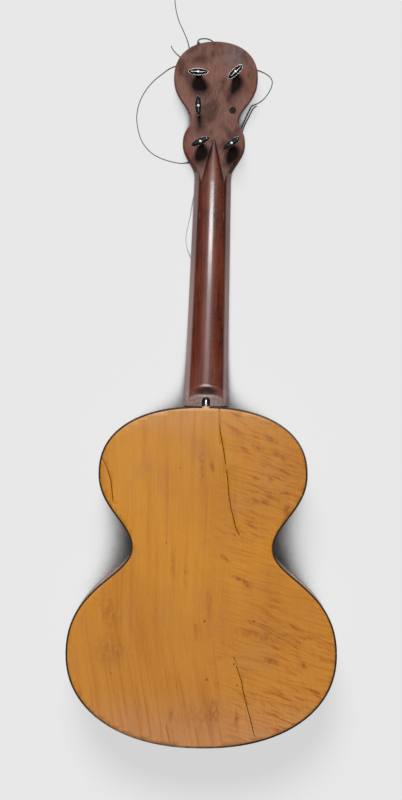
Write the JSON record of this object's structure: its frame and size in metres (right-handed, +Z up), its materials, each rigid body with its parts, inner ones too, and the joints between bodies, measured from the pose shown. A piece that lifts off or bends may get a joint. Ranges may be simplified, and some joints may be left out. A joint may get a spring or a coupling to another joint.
{
  "type": "broken guitar",
  "caption": "Broken small guitar on its face: figure-eight head with friction pegs and an empty peg hole, loose string ends, cracked back, and a neck set by a key screw.",
  "frame": {"origin": "on the surface that the guitar lies on, under the middle of its overall box without the loose strings", "axes": "+Y from the tail of the body towards the head, +Z up, out of the back; the guitar lies on its face"},
  "size_m": [0.3324, 0.9491, 0.0981],
  "materials": {
    "maple_back": "aged oil varnish, satin gloss",
    "dark_binding": "satin",
    "maple_rib": "aged oil varnish, satin gloss",
    "spruce_top": "aged satin varnish",
    "rosette_inlay": "satin",
    "bare_spruce": "bare, matt",
    "ebony": "polished, worn",
    "bone": "polished bone",
    "black_pin": "polished",
    "iron_socket": "dull",
    "neck_wood": "glossy varnish",
    "head_wood": "matt, worn stain",
    "fret_brass": "dull",
    "screw_steel": "worn, domed end bright",
    "black_peg": "black, high gloss",
    "pearl_dot": "white inlay",
    "string_gut": "dull covered gut",
    "pale_thread": "fine pale thread"
  },
  "bodies": {
    "body": {"back_plate": "maple_back", "back_binding": "dark_binding", "rib_left": "maple_rib", "rib_right": "maple_rib", "soundboard": "spruce_top", "top_binding": "dark_binding", "rosette": "rosette_inlay", "neck_block": "bare_spruce", "tail_block": "bare_spruce", "top_lining_left": "bare_spruce", "top_lining_right": "bare_spruce", "back_lining_left": "bare_spruce", "back_lining_right": "bare_spruce", "back_bar_1": "bare_spruce", "back_bar_2": "bare_spruce", "back_bar_3": "bare_spruce", "top_bar_1": "bare_spruce", "top_bar_2": "bare_spruce", "top_bar_3": "bare_spruce", "bridge": "ebony", "saddle": "bone", "bridge_pins": "black_pin", "bridge_plate": "bare_spruce", "screw_socket": "iron_socket"},
    "neck": {"neck_shaft": "neck_wood", "headstock": "head_wood", "fingerboard": "ebony", "frets": "fret_brass", "nut": "bone", "string_1": "string_gut", "string_2": "string_gut", "string_3": "string_gut", "string_5": "pale_thread", "string_6": "string_gut", "tail_1": "string_gut", "tail_6": "string_gut"},
    "key_screw": {"key_screw": "screw_steel"},
    "peg_1": {"peg_1": "black_peg", "peg_dot_1": "pearl_dot", "winding_1": "string_gut"},
    "peg_2": {"peg_2": "black_peg", "peg_dot_2": "pearl_dot", "winding_2": "string_gut"},
    "peg_3": {"peg_3": "black_peg", "peg_dot_3": "pearl_dot", "winding_3": "string_gut"},
    "peg_5": {"peg_5": "black_peg", "peg_dot_5": "pearl_dot", "winding_5": "string_gut"},
    "peg_6": {"peg_6": "black_peg", "peg_dot_6": "pearl_dot", "winding_6": "string_gut"}
  },
  "joints": [
    {"name": "neck_tilt", "type": "hinge", "parent": "body", "child": "neck", "pos_m": [0.0025, -0.02075, 0.0086], "axis": [-1, 0, 0], "range_deg": [0, 1]},
    {"name": "key_screw_turn", "type": "hinge", "parent": "neck", "child": "key_screw", "pos_m": [0.0025, -0.02075, 0.08503], "axis": [0.0209, 0.9998, 0], "range_deg": [0, 390]},
    {"name": "peg_1_turn", "type": "hinge", "parent": "neck", "child": "peg_1", "pos_m": [-0.01103, 0.39824, 0.02137], "axis": [-0.0016, -0.0784, 0.9969], "continuous": true},
    {"name": "peg_2_turn", "type": "hinge", "parent": "neck", "child": "peg_2", "pos_m": [0.03529, 0.39876, 0.02149], "axis": [-0.0016, -0.0784, 0.9969], "continuous": true},
    {"name": "peg_3_turn", "type": "hinge", "parent": "neck", "child": "peg_3", "pos_m": [-0.01061, 0.35635, 0.01807], "axis": [-0.0016, -0.0784, 0.9969], "continuous": true},
    {"name": "peg_5_turn", "type": "hinge", "parent": "neck", "child": "peg_5", "pos_m": [-0.00752, 0.31241, 0.01462], "axis": [-0.0016, -0.0784, 0.9969], "continuous": true},
    {"name": "peg_6_turn", "type": "hinge", "parent": "neck", "child": "peg_6", "pos_m": [0.03145, 0.3106, 0.01454], "axis": [-0.0016, -0.0784, 0.9969], "continuous": true}
  ],
  "couplings": [
    {"joint": "key_screw_turn", "follows": "neck_tilt", "ratio": 384.18}
  ]
}
